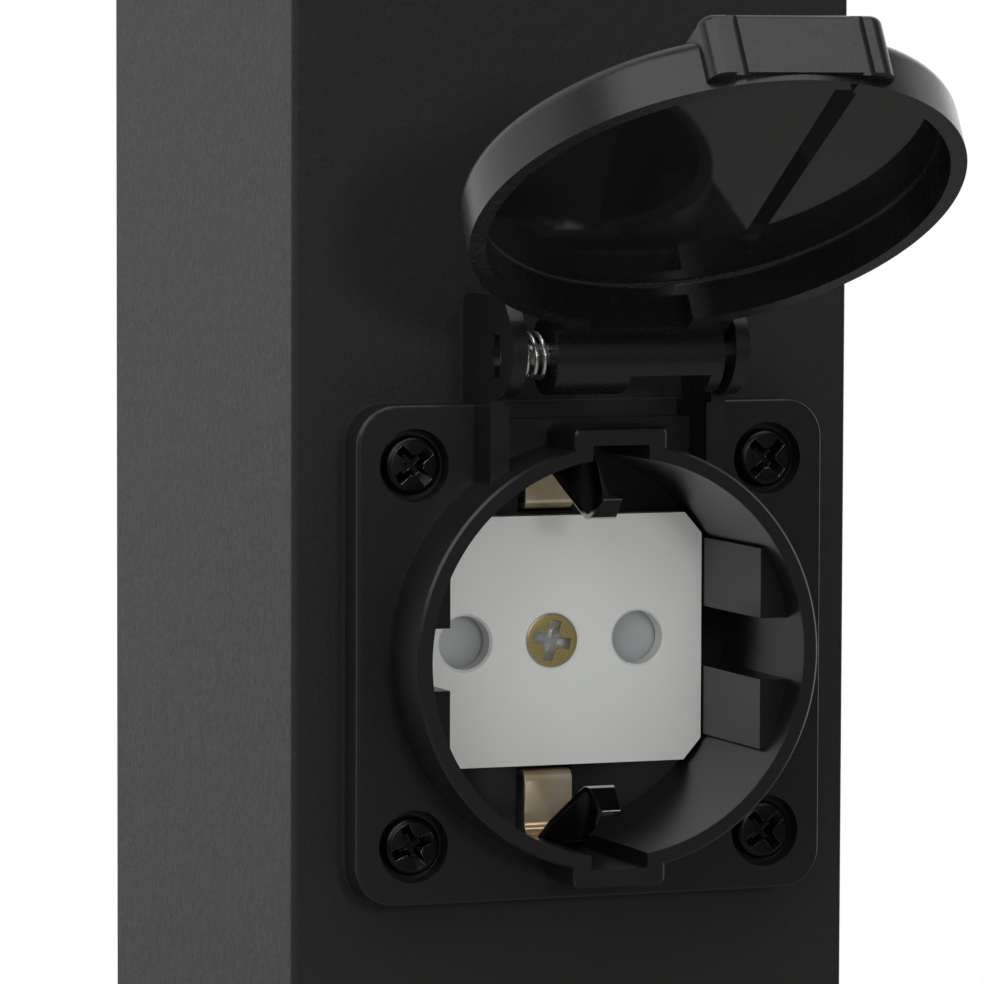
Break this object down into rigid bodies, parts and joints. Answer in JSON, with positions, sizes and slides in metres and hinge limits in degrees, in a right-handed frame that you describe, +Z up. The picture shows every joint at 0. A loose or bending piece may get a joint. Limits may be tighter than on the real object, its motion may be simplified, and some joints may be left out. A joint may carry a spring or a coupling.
{
  "type": "garden socket post",
  "caption": "Square powder-coated garden post on a foot plate, with an earthed two-pin panel socket under a sprung hinged lid.",
  "frame": {"origin": "centre of the foot plate's underside, which is the centre of its four bolt holes", "axes": "+Z up the post, -Y out of the socket's face, +X to the right as one looks at the socket"},
  "size_m": [0.1, 0.1377, 0.3],
  "materials": {
    "post_coating": "fine-textured matt powder coat, near black grey",
    "housing_plastic": "black moulded thermoplastic, satin",
    "lid_plastic": "black moulded thermoplastic, polished inside",
    "seal_rubber": "matt",
    "cover_plastic": "light grey moulded thermoset, satin",
    "shutter_plastic": "light grey moulded thermoplastic",
    "carrier_plastic": "dark grey moulded thermoset",
    "black_screws": "black oxide steel",
    "plain_steel": "bright zinc plate",
    "spring_steel": "drawn stainless wire",
    "yellow_zinc": "yellow passivated zinc plate",
    "nickel_brass": "nickel plate",
    "contact_brass": "bare brass",
    "brown_insulation": "insulated wire, brown",
    "blue_insulation": "insulated wire, blue",
    "earth_insulation": "insulated wire, green and yellow"
  },
  "bodies": {
    "post": {"post_tube": "post_coating", "foot_plate": "post_coating", "top_cap": "post_coating", "socket_housing": "housing_plastic", "flange_seal": "seal_rubber", "cap_seal": "seal_rubber", "cable_grommet": "seal_rubber", "contact_cover": "cover_plastic", "contact_carrier": "carrier_plastic", "rear_cover": "carrier_plastic", "terminal_block": "carrier_plastic", "flange_screws": "black_screws", "foot_screws": "plain_steel", "cap_screws": "plain_steel", "terminal_bracket": "plain_steel", "bracket_screws": "plain_steel", "clamp_screws": "plain_steel", "block_screws": "plain_steel", "earth_stud": "plain_steel", "earth_nut": "plain_steel", "hinge_pin": "plain_steel", "contact_screws": "plain_steel", "earth_clamp_screw": "plain_steel", "centre_nut": "plain_steel", "lid_spring": "spring_steel", "shutter_spring": "spring_steel", "centre_screw": "yellow_zinc", "earth_clip": "nickel_brass", "earth_clamp": "nickel_brass", "earth_lug": "nickel_brass", "line_contact": "contact_brass", "neutral_contact": "contact_brass", "pole_sleeves": "contact_brass", "live_wire": "brown_insulation", "neutral_wire": "blue_insulation", "earth_wire": "earth_insulation", "bond_wire": "earth_insulation"},
    "lid": {"lid": "lid_plastic"},
    "shutter": {"shutter": "shutter_plastic"}
  },
  "joints": [
    {"name": "lid_hinge", "type": "hinge", "parent": "post", "child": "lid", "pos_m": [0, -0.041, 0.23], "axis": [1, 0, 0], "range_deg": [0, 120.8], "stiffness_Nm_per_rad": 0.02, "springref_deg": 143.24, "deforming": ["lid_spring"]},
    {"name": "shutter_turn", "type": "hinge", "parent": "post", "child": "shutter", "pos_m": [0, -0.021, 0.2], "axis": [0, -1, 0], "range_deg": [0, 40], "stiffness_Nm_per_rad": 0.0002, "springref_deg": -28.65, "deforming": ["shutter_spring"]}
  ]
}
